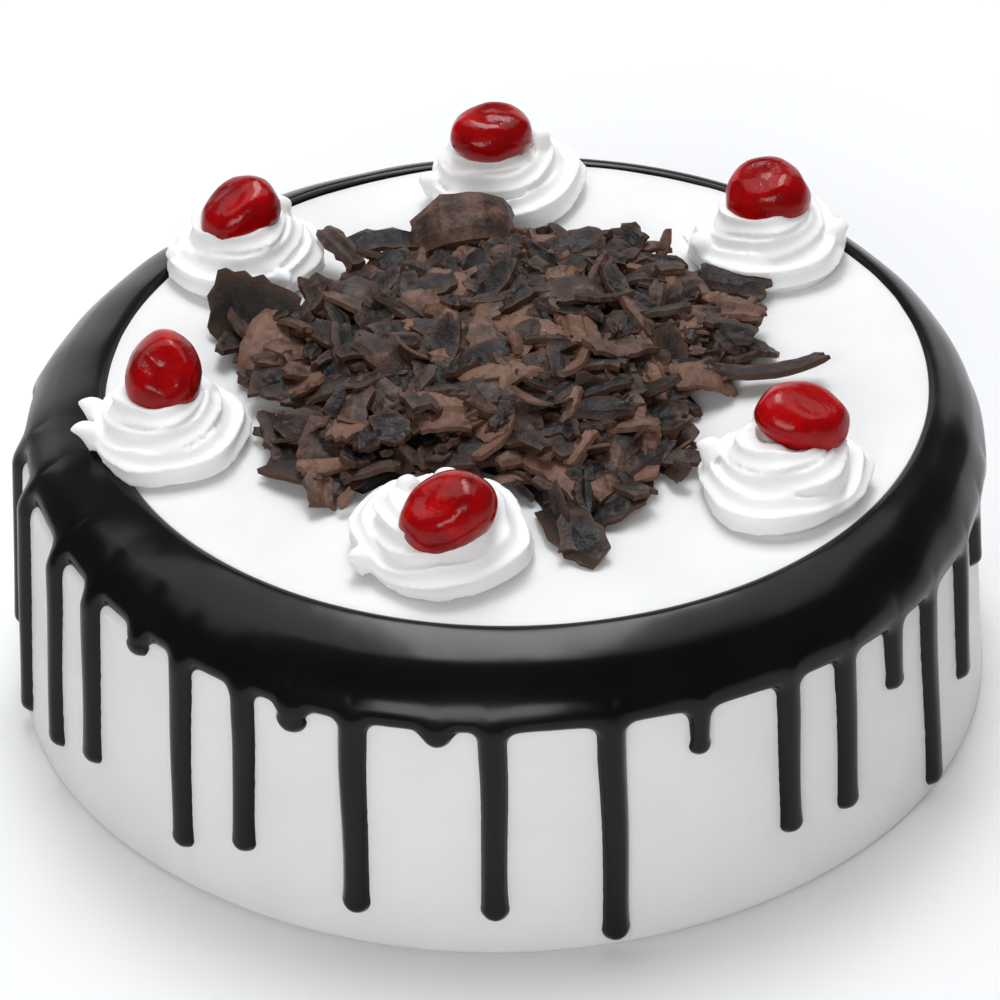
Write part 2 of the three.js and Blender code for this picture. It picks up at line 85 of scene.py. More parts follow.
# Piped swirls: centre, radius, the angles at which the piping starts and ends, the cherry's centre,
# half sizes and tilt about x and then y, and the tips of cream that stick out (angle, rise, length)
SWIRL_HEIGHT = 16.5
SWIRLS = [
    dict(x=-12.8, y=-54.4, radius=19.8, start=200, finish=100, cherry=(-10.7, -62, 80),
         half=(10.2, 8.5, 7.6), tilt=(24, -22), tips=[(130, 13, 2.5), (80, 13.5, 2.5), (205, 3.5, 4)]),
    dict(x=56.5, y=-38, radius=18.4, start=300, finish=30, cherry=(60, -34.5, 82),
         half=(9.8, 7.6, 5.9), tilt=(8, 24), tips=[(168, 8, 4), (125, 13, 3)]),
    dict(x=57.6, y=50, radius=17.6, start=110, finish=60, cherry=(57.3, 50, 81.2),
         half=(9, 8.2, 7), tilt=(10, -12), tips=[(200, 6, 3.5), (350, 7, 3)]),
    dict(x=2, y=76.5, radius=18.6, start=160, finish=20, cherry=(-0.3, 73.5, 83.2),
         half=(9.2, 7.4, 6), tilt=(5, 4), tips=[(10, 13, 3), (190, 5, 3)]),
    dict(x=-52.2, y=50, radius=17.8, start=60, finish=80, cherry=(-53, 48.5, 80.2),
         half=(9, 8, 6.8), tilt=(12, -26), tips=[(30, 12, 3), (300, 5, 4), (190, 5, 3)]),
    dict(x=-67.5, y=-15, radius=17.8, start=175, finish=60, cherry=(-67.3, -13.5, 81.6),
         half=(7.9, 9.2, 8), tilt=(38, 0), tips=[(190, 4, 5), (163, 5, 4.5), (20, 10, 3)]),
]
LOWER_TURNS, LOWER_THICKNESS, LOWER_TWIST = 1.12, 0.27, 1.5
UPPER_TURNS, UPPER_THICKNESS, UPPER_TWIST = 1.9, 0.24, 2.0
LEAN = 0.4                      # of the cherry's offset from the swirl's centre, at the swirl's top
RIDGES = 7                      # that the star nozzle leaves along the piping
RIDGE_DEPTH = 0.26
RUFFLES_PER_TURN = 5
ROPE_STEPS, ROPE_SIDES = 150, 84        # steps for each turn, and points round the rope
DOME_SIDES, DOME_ROWS = 36, 12
TIP_THICKNESS, TIP_STEPS, TIP_SIDES = 2.8, 12, 24
OUT_OF_TRUE = 0.5               # hand pressure varies, so each swirl is bent about this much
SWIRL_VOXEL = 0.45

# Cherries
CHERRY_COLUMNS, CHERRY_ROWS = 96, 60

# Heap of shavings
HEAP_X, HEAP_Y, HEAP_RADIUS, HEAP_HEIGHT = 1.0, 2.0, 54.0, 9.0
HEAP_LOBES = [                  # angle, how much further the shavings reach there, half width in degrees
    (12, 9, 8), (33, -5, 8), (72, -16, 18), (126, 12, 14), (150, 3, 16), (175, 4, 12), (-155, -3, 8),
    (-142, 9, 8), (-121, 15, 12), (-60, 3, 20),
]
PLACED_SHAVINGS = [             # both ends' x and y, middle height, width, how it arches and its roll
    (-32, 46, -16, 46, 74.8, 8, 0.04, 0), (-60, 27, -42, 19, 72.5, 15, 0.03, 0.85),
    (-20, 46, 7, 48, 79.6, 12, 0.085, 0.5), (1, 45, 19, 45, 73.6, 8, 0.03, -0.1),
    (42, 39, 56, 31, 70, 8, 0.03, 0.3), (43, -2, 67, 3, 69.6, 5.5, -0.03, -0.2),
    (8, -24, 18, -44, 72, 13, 0.02, -0.2), (8.5, -43, 18.5, -61, 68.9, 10, 0.04, 0.3),
    (-46, -25, -29, -36, 70, 10, 0.03, -0.1), (-32, -34, -20, -29, 71, 8, 0.04, -0.3),
    (23, -36, 33, -26, 71, 8, 0.04, 0.3), (-47, -6, -44, 9, 72, 10, 0.03, 0),
    (-46, -9, -42, -27, 70, 8, 0.03, -0.3), (-36, 52, -29, 38, 74.5, 5, 0.03, 0.3),
    (32, -29, 41, -29, 69.5, 5, 0.03, 0.1), (-16, -27, 6, -28.5, 72.3, 10, 0.03, 0.1),
]
SPREAD_COUNT, SPREAD_SEED, SPREAD_STRIDE = 330, 20, 89
LENGTHS = (18.0, 8.0)           # of the spread shavings, from the first to the last
SWIRL_CLEARANCE = 1.4
KEEP_OFF = (1.1, SWIRL_CLEARANCE)       # share of a swirl's radius, and a gap
SMALL_KEEP_OFF = (0.93, 0)
GOLDEN_ANGLE = 137.508
HEAP_SEED = 11
# How finely each kind of shaving is divided, and its thickness
LARGE = dict(long_steps=9, wide_steps=4, thickness=1.8)
SPLINTER = dict(long_steps=4, wide_steps=2, thickness=1.0)
CRUMB = dict(long_steps=2, wide_steps=2, thickness=0.8)
SPLINTER_COUNT, SPLINTER_LENGTHS = 190, (4.5, 10.0)
CRUMB_COUNT, CRUMB_LENGTHS = 260, (0.9, 2.6)
CRUMB_LIFT = 0.1                # crumbs are this much paler
CORE_SHARE = 0.84               # of the shavings' reach
CORE_COLUMNS, CORE_ROWS = 160, 40

# Colours of the cream, and how far chocolate's noise and its rims, painted paler as a highlight, change its
# tone
# The spread cream's colour is darker than the piped cream's: painted shade for the cake's shaded side
SHADED_SPREAD_TINT, SPREAD_GRAIN = (0.845, 0.842, 0.83), 0.12
PIPED_TINT, PIPED_GRAIN = (0.98, 0.975, 0.96), 0.2
NOISE_SHARE, EDGE_HIGHLIGHT_SHARE = 0.7, 0.5
# Paler brown painted along the shavings' rims as a highlight
EDGE_HIGHLIGHT_COLOUR = (0.1, 0.048, 0.029, 1)

# Camera, as fitted to the cake in the photograph, and lights, in metres and watts
CAMERA_AIM = (-0.0002, 0, 0.0398)
CAMERA_ELEVATION, CAMERA_ROLL, CAMERA_DISTANCE, CAMERA_LENS = 35.02, -1.41, 1.4, 243.95
WORLD_STRENGTH = 0.12
COOL, WHITE = (0.95, 0.97, 1.0), (1, 1, 1)
LIGHT_AIM = (0, 0, 0.05)
LIGHTS = [                      # name, place, width, height, watts and colour
    ("overhead", (0.0, 0.5, 1.5), 0.5, 0.95, 12.5, COOL),
    ("wide_overhead", (0.0, 0.5, 1.55), 2.8, 1.1, 14, COOL),
    ("front", (-0.3, -1.5, 0.9), 1.2, 0.6, 13, WHITE),
    ("back", (0, 1.7, 0.5), 3.0, 1.0, 9, WHITE),
]
FLOOR_HALF, FLOOR_HEIGHT = 8.0, -0.0001


# Seeded random numbers from 0 to 1, the same ones as the frame's solids were placed with
def random_from(seed):
    state = seed

    def multiply(a, b):
        return (a * b) & 0xFFFFFFFF

    def draw():
        nonlocal state
        state = (state + 0x6D2B79F5) & 0xFFFFFFFF
        t = multiply(state ^ (state >> 15), 1 | state)
        t = ((t + multiply(t ^ (t >> 7), 61 | t)) & 0xFFFFFFFF) ^ t
        return ((t ^ (t >> 14)) & 0xFFFFFFFF) / 4294967296

    return draw


def lerp(a, b, part):
    return a + (b - a) * part


def clamp01(x):
    return np.clip(x, 0.0, 1.0)


# Soft bumps from -1 to 1 at a point or many: waves in seeded directions, about `size` long
def ripple(points, size, seed):
    rng = np.random.default_rng(seed)
    directions = rng.normal(size=(7, 3))
    directions /= np.linalg.norm(directions, axis=1)[:, None]
    stretch = rng.uniform(0.7, 1.5, 7)
    phase = rng.uniform(0, 2 * math.pi, 7)
    waves = np.sin(points @ (directions * (stretch * 2 * math.pi / size)[:, None]).T + phase)
    return waves.sum(axis=-1) / 4


# Turns points and faces, in millimetres, into an object that moves with the cake
def piece(name, points, faces, material, smooth=True):
    mesh = bpy.data.meshes.new(name)
    mesh.from_pydata((np.asarray(points) * MM).tolist(), [], [list(face) for face in faces])
    mesh.validate()
    mesh.update()
    mesh.polygons.foreach_set("use_smooth", [smooth] * len(mesh.polygons))
    obj = bpy.data.objects.new(name, mesh)
    scene.collection.objects.link(obj)
    obj.data.materials.append(material)
    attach(obj, "root")
    return obj


# Applies a modifier for good
def apply_modifier(obj, kind, **settings):
    modifier = obj.modifiers.new(kind.lower(), kind)
    for key, value in settings.items():
        setattr(modifier, key, value)
    with bpy.context.temp_override(object=obj, active_object=obj, selected_objects=[obj]):
        bpy.ops.object.modifier_apply(modifier=modifier.name)


def set_smooth(obj):
    obj.data.polygons.foreach_set("use_smooth", [True] * len(obj.data.polygons))
    obj.data.update()


# Quads of a grid whose columns may close on themselves
def grid_quads(columns, rows, closed):
    column = np.arange(columns if closed else columns - 1)
    row = np.arange(rows - 1)
    c, r = np.meshgrid(column, row, indexing="ij")
    here = c * rows + r
    right = (c + 1) % columns * rows + r
    return np.stack([here, right, right + 1, here + 1], -1).reshape(-1, 4)


# Shape of the cream


# Radius at which the flat top meets the glaze's shoulder. The disc is a little off the cake's centre.
def disc_edge(angle):
    turn = np.radians(angle)
    along = DISC_X * np.sin(turn) - DISC_Y * np.cos(turn)
    across = DISC_X * np.cos(turn) + DISC_Y * np.sin(turn)
    return along + np.sqrt(DISC_RADIUS ** 2 - across ** 2)


def unevenness(angle):
    return 0.3 * np.sin(np.radians(3 * angle + 40)) + 0.2 * np.sin(np.radians(5 * angle + 110))


# Points round an upright axis, at an angle in radians from x
def on_circle(angle, radius, height):
    return np.stack(np.broadcast_arrays(radius * np.cos(angle), radius * np.sin(angle), height), -1)


# Points round the cake, at an angle in degrees from the front
def place_round(angle, radius, height):
    turn = np.radians(angle)
    return np.stack(np.broadcast_arrays(radius * np.sin(turn), -radius * np.cos(turn), height), -1)


# Radius and height on the shoulder, where turn is 0 at the flat top and 90 at the side
def shoulder(angle, turn):
    edge = disc_edge(angle)
    side = SIDE_RADIUS + unevenness(angle)
    out = np.sin(np.radians(turn)) ** SHOULDER_POWER
    up = np.maximum(np.cos(np.radians(turn)), 0) ** SHOULDER_POWER
    return edge + (side - edge) * out, SHOULDER_LOW + (TOP_HEIGHT - SHOULDER_LOW) * up


def side_radius(angle, height):
    return lerp(BASE_RADIUS, SIDE_RADIUS, height / SHOULDER_LOW) + unevenness(angle)


# The spatula leaves shallow waves all over and finer scraped lines round the side
def spread_marks(points):
    height = points[..., 2]
    lines = np.sin(height * 2.1 + 0.6 * ripple(points, 60, 5)) * 0.03
    return 0.14 * ripple(points, 34, 3) + 0.05 * ripple(points * (1, 1, 2.5), 11, 4) + lines


def make_cream_body(material):
    angle = np.arange(BODY_COLUMNS)[:, None] * 360 / BODY_COLUMNS
    foot = side_radius(angle, 0.0)
    profile = []
    for part in np.linspace(0, 1, BASE_ROWS)[1:]:
        profile.append((part * (foot - FOOT_ROUNDING), 0 * foot))
    for turn in (30, 60, 90):
        radius = foot - FOOT_ROUNDING * (1 - math.sin(math.radians(turn)))
        profile.append((radius, 0 * foot + FOOT_ROUNDING * (1 - math.cos(math.radians(turn)))))
    for height in np.linspace(FOOT_ROUNDING, SHOULDER_LOW, SIDE_ROWS)[1:-1]:
        profile.append((side_radius(angle, height), 0 * foot + height))
    for turn in np.linspace(90, 0, SHOULDER_ROWS):
        profile.append(shoulder(angle, turn))
    for part in np.linspace(1, 0, TOP_ROWS)[1:-1]:
        profile.append((part * disc_edge(angle), 0 * foot + TOP_HEIGHT))
    radius = np.concatenate([one[0] for one in profile], 1)
    height = np.concatenate([one[1] + 0 * foot for one in profile], 1)
    points = place_round(angle, radius, height)
    # Marks go sideways on the side, and up on the top, where they fade out under the glaze
    upward = clamp01((height - SHOULDER_LOW) / (TOP_HEIGHT - SHOULDER_LOW)) ** 2
    marks = spread_marks(points) * (height > FOOT_ROUNDING)
    outward = place_round(angle, np.ones_like(radius), 0 * radius)
    points = points + outward * (marks * (1 - upward))[..., None]
    points[..., 2] += marks * upward
    count = points.shape[1]
    quads = grid_quads(BODY_COLUMNS, count, True)
    total = BODY_COLUMNS * count
    ends = np.arange(BODY_COLUMNS) * count
    following = np.roll(ends, -1)
    bottom = [(total, b, a) for a, b in zip(ends, following)]
    top = [(a + count - 1, b + count - 1, total + 1) for a, b in zip(ends, following)]
    every = np.vstack([points.reshape(-1, 3), [[0, 0, 0], [0, 0, TOP_HEIGHT]]])
    obj = piece("cream_surface", every, quads.tolist() + bottom + top, material)
    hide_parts("cream_body")


# Glaze


def all_drips():
    draw = random_from(BACK_SEED)
    spacing = (BACK_TO - BACK_FROM) / (BACK_COUNT - 1)
    back = []
    for i in range(BACK_COUNT):
        angle = BACK_FROM + spacing * (i + 0.5 * (draw() - 0.5))
        is_short = draw() < SHORT_SHARE
        lowest, spread = SHORT_ENDS if is_short else LONG_ENDS
        end = lowest + spread * draw()
        back.append((angle, end, 4.4 + 1.2 * draw()))
    return sorted(FRONT_DRIPS + back)


# Lower edge of the ring of glaze: an arch between each drip and the next
def glaze_edge(angle, drips):
    starts = np.array([one[0] for one in drips] + [drips[0][0] + 360.0])
    turned = (angle - starts[0]) % 360 + starts[0]
    index = np.clip(np.searchsorted(starts, turned, side="right") - 1, 0, len(drips) - 1)
    from_middle = 2 * (turned - starts[index]) / (starts[index + 1] - starts[index]) - 1
    sag = 0.9 * np.sin(np.radians(4 * angle + 25))
    return EDGE_HEIGHT - EDGE_SLOPE * np.sin(np.radians(angle)) + sag - ARCH_RISE * from_middle ** 4


# The larger of two distances, blended over a width
def smooth_max(a, b, width):
    overlap = np.maximum(width - np.abs(a - b), 0) / width
    return np.maximum(a, b) + overlap ** 2 * width / 4


# How far inside a drip each point of the side lies, negative outside it
def inside_drip(angle, height, one, top, index):
    centre, end, width = one
    sway = 0.2 * np.sin(height / 8 + 1.7 * index) * clamp01((top - height) / 10)
    x = np.radians((angle - centre + 180) % 360 - 180) * SIDE_RADIUS - sway
    half = width / 2
    bulb = end + half + 0.6
    along = clamp01((height - bulb) / np.maximum(top - bulb, 1))
    narrow = half * (1.06 - 0.12 * np.sin(math.pi * clamp01(along * 1.15) ** 0.5))
    straight = narrow - np.abs(x)
    rounded = half * 1.06 - np.hypot(x, np.minimum(height - bulb, 0) * 0.92)
    return np.where(height > bulb, np.where(height > top + 3, FAR_OUTSIDE, straight), rounded)


def make_glaze(material):
    drips = all_drips()
    angle = (np.arange(GLAZE_COLUMNS) * 360 / GLAZE_COLUMNS)[:, None]
    ones = np.ones_like(angle)
    inward = [(disc_edge(angle) - step, TOP_HEIGHT * ones) for step in (INWARD_STEP, INWARD_STEP / 2)]
    over = [shoulder(angle, turn) for turn in np.linspace(0, 90, GLAZE_SHOULDER_ROWS)]
    levels = np.linspace(SHOULDER_LOW, 0.4, GLAZE_SIDE_ROWS)[1:]
    down = [(side_radius(angle, level), level * ones) for level in levels]
    radius = np.concatenate([one[0] for one in inward + over + down], 1)
    height = np.concatenate([one[1] * ones for one in inward + over + down], 1)
    # Distances along the profile from the inner edge, and its outward direction
    step = np.hypot(np.diff(radius, axis=1), np.diff(height, axis=1))
    travelled = np.concatenate([0 * ones, np.cumsum(step, 1)], 1) - INWARD_STEP
    slope_r = np.gradient(radius, axis=1)
    slope_z = np.gradient(height, axis=1)
    length = np.hypot(slope_r, slope_z)
    normal = place_round(angle, -slope_z / length, slope_r / length)

    edge = glaze_edge(angle, drips)
    inside_ring = (height - edge) * 1.04
    inside_drips = np.full_like(height, FAR_OUTSIDE)
    for index, one in enumerate(drips):
        inside_drips = np.maximum(inside_drips, inside_drip(angle, height, one, edge, index))
    inside_side = smooth_max(inside_ring, inside_drips, FILLET)
    inside = np.minimum(travelled, inside_side)

    thick = np.interp(travelled, GLAZE_REACHES, GLAZE_THICKNESS)
    dripness = clamp01((inside_drips - inside_ring + 1.5) / 4) * (height < edge + 4)
    thick = lerp(thick, DRIP_THICKNESS, dripness)
    points = place_round(angle, radius, height)
    # A low roll above the lower edge, and slow waves where the glaze has run
    roll = 0.45 * np.exp(-((inside_side - 4.5) / 2.4) ** 2) * (0.5 + 0.5 * ripple(points, 90, 8))
    waves = 0.16 * ripple(points * (1, 1, 0.6), 26, 9) * clamp01(inside / 3)
    # The edge rises steeply at the same slope on both sides of it, which keeps its line smooth
    part = clamp01(inside / ROUNDED)
    raised = (thick + roll) * (1 - (1 - part) ** EDGE_POWER) + waves
    below = EDGE_POWER * thick / ROUNDED * inside
    raised = np.where(inside < 0, np.maximum(below, -1.2), raised)
    outer = points + normal * raised[..., None]
    inner = points - normal * GLAZE_ROOT

    rows = radius.shape[1]
    quads = grid_quads(GLAZE_COLUMNS, rows, True)[:, ::-1]
    quads = quads[(inside.reshape(-1)[quads] > -0.5).any(1)]
    obj = shell("glaze_run", outer.reshape(-1, 3), inner.reshape(-1, 3), quads, material)
    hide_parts("ganache")


# A closed shell between an outer and an inner skin that share their quads. The inner skin, which lies
# in the cream, is thinned out.
def shell(name, outer, inner, quads, material):
    used, compact = np.unique(quads, return_inverse=True)
    quads = compact.reshape(-1, 4)
    count = len(used)
    edges = np.concatenate([quads[:, [k, (k + 1) % 4]] for k in range(4)])
    keys = np.sort(edges, 1) @ np.array([count, 1])
    _, first, times = np.unique(keys, return_index=True, return_counts=True)
    rim = edges[first[times == 1]]
    sides = np.stack([rim[:, 1], rim[:, 0], rim[:, 0] + count, rim[:, 1] + count], 1)
    faces = np.concatenate([quads, quads[:, ::-1] + count, sides])
    obj = piece(name, np.concatenate([outer[used], inner[used]]), faces.tolist(), material)
    group = obj.vertex_groups.new(name="hidden")
    group.add(list(range(count, 2 * count)), 1.0, "REPLACE")
    apply_modifier(obj, "DECIMATE", ratio=KEPT_HIDDEN_FACES, vertex_group="hidden", vertex_group_factor=10.0)
    obj.vertex_groups.clear()
    set_smooth(obj)
    return obj


# Swirls


# Points and faces of a closed tube round a line of centres, from rings of points
def tube(rings, start, end):
    count, sides = rings.shape[:2]
    points = np.vstack([rings.reshape(-1, 3), [start], [end]])
    quads = grid_quads(count, sides + 1, False)
    row = quads // (sides + 1)
    column = quads % (sides + 1) % sides
    faces = (row * sides + column).tolist()
    last = count * sides
    for k in range(sides):
        following = (k + 1) % sides
        faces.append([last, k, following])
        faces.append([last + 1, (count - 1) * sides + following, (count - 1) * sides + k])
    return points, faces


# Piping from a star nozzle, which thins out to a point at both ends
def piped_rope(turns, thickness, start, twist, phase, middle):
    turn = np.linspace(0, turns, int(turns * ROPE_STEPS))[:, None]
    part = turn / turns
    side = (np.arange(ROPE_SIDES) * 2 * math.pi / ROPE_SIDES)[None, :]
    ridge = 1 - RIDGE_DEPTH * np.abs(np.sin(side * RIDGES / 2)) ** 0.8
    ruffle_wave = np.abs(np.sin(np.pi * (RUFFLES_PER_TURN * turn + phase + 0.05 * np.cos(side))))
    ruffle = 1.07 - 0.17 * ruffle_wave
    taper = np.minimum(1, np.minimum(0.3 + 4 * part, 0.05 + 5 * (1 - part)))
    thick = thickness * ruffle * taper * ridge
    radius, height = middle(turn)
    twisted = side + twist * turn
    reach = radius + thick * np.cos(twisted)
    rings = on_circle(start + 2 * math.pi * turn, reach, np.maximum(height + thick * np.sin(twisted), -1))
    return tube(rings, rings[0].mean(0), rings[-1].mean(0))


# A drawn-out tip of cream along a curve, thick at its root
def cream_tip(root, tip):
    root, tip = np.array(root, float), np.array(tip, float)
    part = np.linspace(0, 1, TIP_STEPS)[:, None]
    middle = root + (tip - root) * part + np.array([0, 0, 1.2]) * np.sin(math.pi * part)
    along = (tip - root) / np.linalg.norm(tip - root)
    across = np.cross(along, (0, 0, 1.0))
    across /= np.linalg.norm(across)
    up = np.cross(across, along)
    side = np.arange(TIP_SIDES) * 2 * math.pi / TIP_SIDES
    radius = TIP_THICKNESS * (1 - part) ** 0.75 + 0.25
    rings = middle[:, None] + radius[:, None] * (
        np.cos(side)[None, :, None] * across + np.sin(side)[None, :, None] * up)
    return tube(rings, middle[0], middle[-1] + along * 0.2)


# Several shapes' points and faces as one
def merged(shapes):
    points, faces, offset = [], [], 0
    for shape_points, shape_faces in shapes:
        points.append(shape_points)
        faces += [[corner + offset for corner in face] for face in shape_faces]
        offset += len(shape_points)
    return np.vstack(points), faces


def dome(radius, height):
    turn = np.radians(np.linspace(0, 88, DOME_ROWS))[:, None]
    side = (np.arange(DOME_SIDES) * 2 * math.pi / DOME_SIDES)[None, :]
    reach = radius * np.cos(turn)
    rings = on_circle(side, reach, height * np.sin(turn))
    return tube(rings, (0, 0, 0), (0, 0, height))


def make_swirl(index, swirl, material):
    radius = swirl["radius"]
    lower = radius * LOWER_THICKNESS
    upper = radius * UPPER_THICKNESS
    start = math.radians(swirl["start"])
    upper_start = math.radians(swirl["finish"]) - 2 * math.pi * UPPER_TURNS

    def lower_middle(turn):
        return radius - lower * (1 + 0.12 * turn), lower * (0.62 + 0.2 * turn)

    def upper_middle(turn):
        part = turn / UPPER_TURNS
        return radius * lerp(0.57, 0.34, part), lerp(lower * 1.2, SWIRL_HEIGHT - upper, part)

    shapes = [
        dome(radius * 0.72, SWIRL_HEIGHT * 0.8),
        piped_rope(LOWER_TURNS, lower, start, LOWER_TWIST, 0.0, lower_middle),
        piped_rope(UPPER_TURNS, upper, upper_start, UPPER_TWIST, 0.5, upper_middle),
    ]
    for angle, rise, length in swirl["tips"]:
        turn = math.radians(angle)
        reach = radius * (0.8 if rise < 9 else 0.45)
        root = (reach * math.cos(turn), reach * math.sin(turn), rise - 1)
        tip = ((reach + length) * math.cos(turn), (reach + length) * math.sin(turn), rise + 0.45 * length)
        shapes.append(cream_tip(root, tip))
    points, faces = merged(shapes)
    bends = np.stack([ripple(points, 17, 31 + 3 * index + k) for k in range(3)], -1)
    points = points + OUT_OF_TRUE * bends
    offset = np.array([swirl["cherry"][0] - swirl["x"], swirl["cherry"][1] - swirl["y"]])
    points[:, :2] += LEAN * offset * points[:, 2:] / SWIRL_HEIGHT
    points[:, 2] = np.maximum(points[:, 2], -0.6)
    points += (swirl["x"], swirl["y"], TOP_HEIGHT)
    obj = piece(f"piped_cream_{index + 1}", points, faces, material)
    apply_modifier(obj, "REMESH", mode="VOXEL", voxel_size=SWIRL_VOXEL * MM)
    apply_modifier(obj, "SMOOTH", factor=0.5, iterations=3)
    set_smooth(obj)
    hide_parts(f"swirl_{index + 1}")


# Cherries


def make_cherry(index, swirl, material):
    columns, rows = CHERRY_COLUMNS, CHERRY_ROWS
    around = (np.arange(columns) * 2 * math.pi / columns)[:, None]
    down = np.linspace(0, math.pi, rows + 2)[None, 1:-1]
    ball = on_circle(around, np.sin(down), np.cos(down))
    poles = np.array([[0, 0, 1.0], [0, 0, -1.0]])
    every = np.vstack([ball.reshape(-1, 3), poles])
    dimple = 0.16 * np.exp(-((1 - every[:, 2]) ** 2) / 0.02)
    cheeks = 0.05 * np.sin(2.5 * every[:, 0] + 1) * every[:, 1]
    seed = 50 + 4 * index
    lumps = 0.08 * ripple(every, 2.4, seed) + 0.025 * ripple(every, 0.9, seed + 1)
    # Syrup draws the skin into fine folds
    folds = -0.02 * np.abs(ripple(every * (1, 1, 0.5), 1.1, seed + 2)) ** 0.5
    every = every * (1 - dimple + cheeks + lumps + folds + 0.012)[:, None] * swirl["half"]
    tilt_x, tilt_y = (math.radians(turn) for turn in swirl["tilt"])
    turned = np.array(Euler((tilt_x, tilt_y, 0), "XYZ").to_matrix())
    every = every @ turned.T + swirl["cherry"]
    quads = grid_quads(columns, rows, True)[:, ::-1]
    first = np.arange(columns) * rows
    following = np.roll(first, -1)
    total = columns * rows
    caps = [(total, a, b) for a, b in zip(first, following)]
    caps += [(total + 1, b + rows - 1, a + rows - 1) for a, b in zip(first, following)]
    obj = piece(f"glace_cherry_{index + 1}", every, quads.tolist() + caps, material)
    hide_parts(f"cherry_{index + 1}")


# Heap of shavings


# How far out from the heap's middle a swirl leaves room in one direction
def room_before(swirl, angle):
    x, y = swirl["x"] - HEAP_X, swirl["y"] - HEAP_Y
    turn = math.radians(angle)
    along = x * math.sin(turn) - y * math.cos(turn)
    across = x * math.cos(turn) + y * math.sin(turn)
    keep_off = swirl["radius"] * 1.08 + SWIRL_CLEARANCE
    if along <= 0 or abs(across) >= keep_off:
        return math.inf
    return along - math.sqrt(keep_off ** 2 - across ** 2)


def heap_reach(angle):
    reach = HEAP_RADIUS
    for lobe, extra, width in HEAP_LOBES:
        off = (angle - lobe + 540) % 360 - 180
        reach += extra * math.exp(-((off / width) ** 2))
    return min([reach] + [room_before(swirl, angle) for swirl in SWIRLS])


def heap_height(part):
    return HEAP_HEIGHT * (1 - part ** 3)


# A shaving that stands out, from its row in the list
def placed_shaving(index, one):
    x1, y1, x2, y2, z, width, curl, roll = one
    return dict(
        x=(x1 + x2) / 2, y=(y1 + y2) / 2, z=z,
        length=math.hypot(x2 - x1, y2 - y1), width=width,
        yaw=math.atan2(y2 - y1, x2 - x1), pitch=0, roll=roll,
        curl=curl, skew=0.1 * math.cos(3 * index), widths=(0.75, 1, 0.95, 0.75),
    )


def clear_of_swirls(one, keep_off):
    share, gap = keep_off
    return all(
        math.hypot(one["x"] - swirl["x"], one["y"] - swirl["y"])
        > swirl["radius"] * share + gap + one["length"] * 0.5
        for swirl in SWIRLS
    )


# Places are spread over the heap by the golden angle. A shaving that would touch a swirl is left out.
def spread_shavings():
    draw = random_from(SPREAD_SEED)
    found = []
    for i in range(SPREAD_COUNT):
        place = (i * SPREAD_STRIDE) % SPREAD_COUNT
        angle = GOLDEN_ANGLE * place
        part = math.sqrt((place + 0.5) / SPREAD_COUNT)
        distance = heap_reach(angle % 360) * part
        size = lerp(LENGTHS[0], LENGTHS[1], (i / SPREAD_COUNT) ** 0.7)
        found.append(dict(
            x=HEAP_X + distance * math.sin(math.radians(angle)) + 3 * (draw() - 0.5),
            y=HEAP_Y - distance * math.cos(math.radians(angle)) + 3 * (draw() - 0.5),
            z=TOP_HEIGHT + 0.8 + heap_height(part) + 4.5 * draw() * (1 - 0.6 * part),
            length=size * (0.75 + 0.5 * draw()),
            width=size * (0.42 + 0.26 * draw()),
            yaw=2 * math.pi * draw(),
            pitch=0.9 * (draw() - 0.5),
            roll=1.1 * (draw() - 0.5),
            curl=(1 if draw() < 0.75 else -1) * (0.02 + 0.05 * draw()),
            skew=0.3 * (draw() - 0.5),
            widths=(0.35 + 0.5 * draw(), 1, 0.75 + 0.25 * draw(), 0.3 + 0.5 * draw()),
        ))
    return [one for one in found if clear_of_swirls(one, KEEP_OFF)]


# Smaller splinters on top of and between the large shavings
def loose_splinters(rng, count, lengths):
    found = []
    while len(found) < count:
        angle = rng.uniform(0, 360)
        part = math.sqrt(rng.uniform(0, 1))
        distance = heap_reach(angle) * part
        length = rng.uniform(*lengths)
        one = dict(
            x=HEAP_X + distance * math.sin(math.radians(angle)),
            y=HEAP_Y - distance * math.cos(math.radians(angle)),
            z=TOP_HEIGHT + 0.6 + heap_height(part) + rng.uniform(0, 6.0) * (1 - 0.7 * part),
            length=length, width=length * rng.uniform(0.35, 0.75),
            yaw=rng.uniform(0, 2 * math.pi), pitch=rng.normal(0, 0.4), roll=rng.normal(0, 0.5),
            curl=rng.choice([-1, 1, 1]) * rng.uniform(0.02, 0.12), skew=rng.uniform(-0.2, 0.2),
            widths=(rng.uniform(0.3, 0.9), 1, rng.uniform(0.7, 1), rng.uniform(0.3, 0.8)),
        )
        if clear_of_swirls(one, SMALL_KEEP_OFF):
            found.append(one)
    return found
